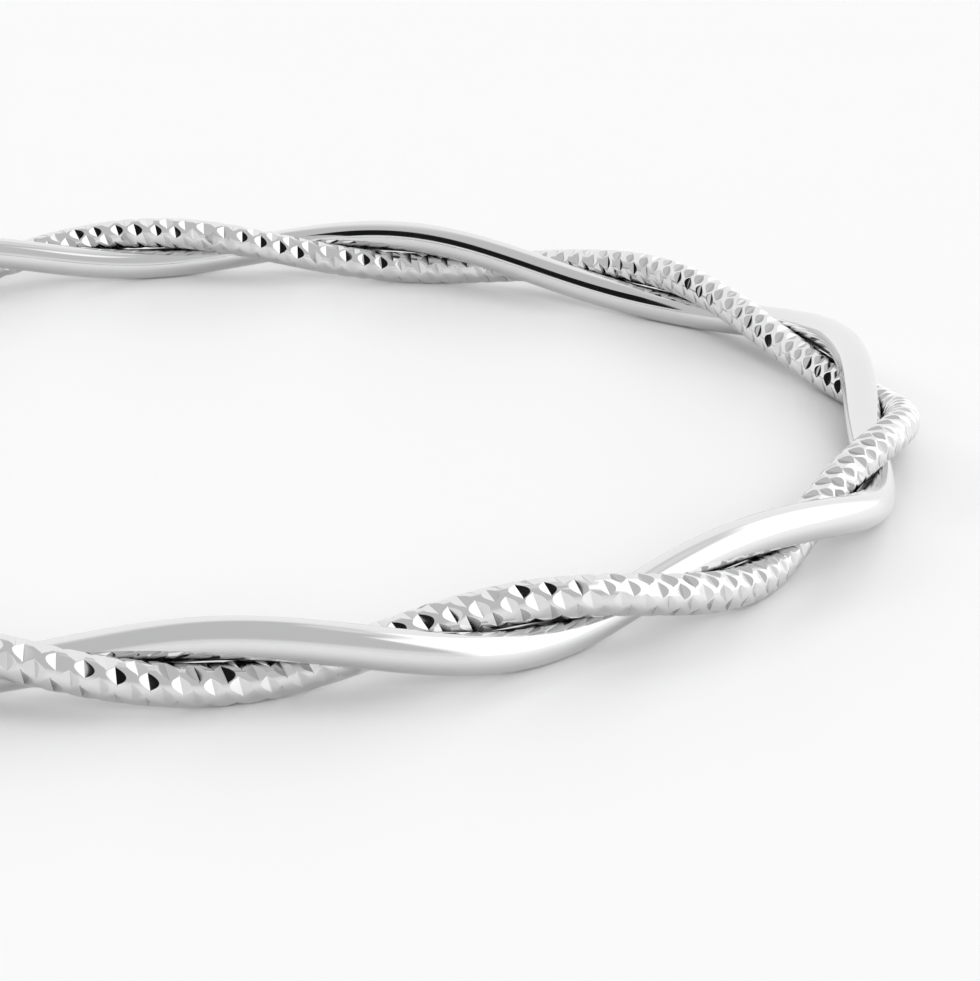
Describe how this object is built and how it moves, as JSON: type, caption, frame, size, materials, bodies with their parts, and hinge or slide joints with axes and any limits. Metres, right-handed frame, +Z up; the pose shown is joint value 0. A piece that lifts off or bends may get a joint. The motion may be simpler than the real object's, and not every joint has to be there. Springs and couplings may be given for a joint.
{
  "type": "twisted wire bangle",
  "caption": "Closed slip-on bangle of a smooth round wire and a diamond-cut round wire twisted together, in polished white metal.",
  "frame": {"origin": "centre of the ring, on the surface that it lies on", "axes": "+Z up through the round opening; the side nearest the viewer in the picture faces -Y, and the picture's right-hand side faces +X"},
  "size_m": [0.0697, 0.0694, 0.0034],
  "materials": {
    "polished_metal": "mirror-polished white metal, such as silver",
    "diamond_cut_metal": "bright diamond-cut white metal, such as silver"
  },
  "bodies": {
    "root": {"smooth_wire": "polished_metal", "diamond_cut_wire": "diamond_cut_metal"}
  },
  "joints": []
}
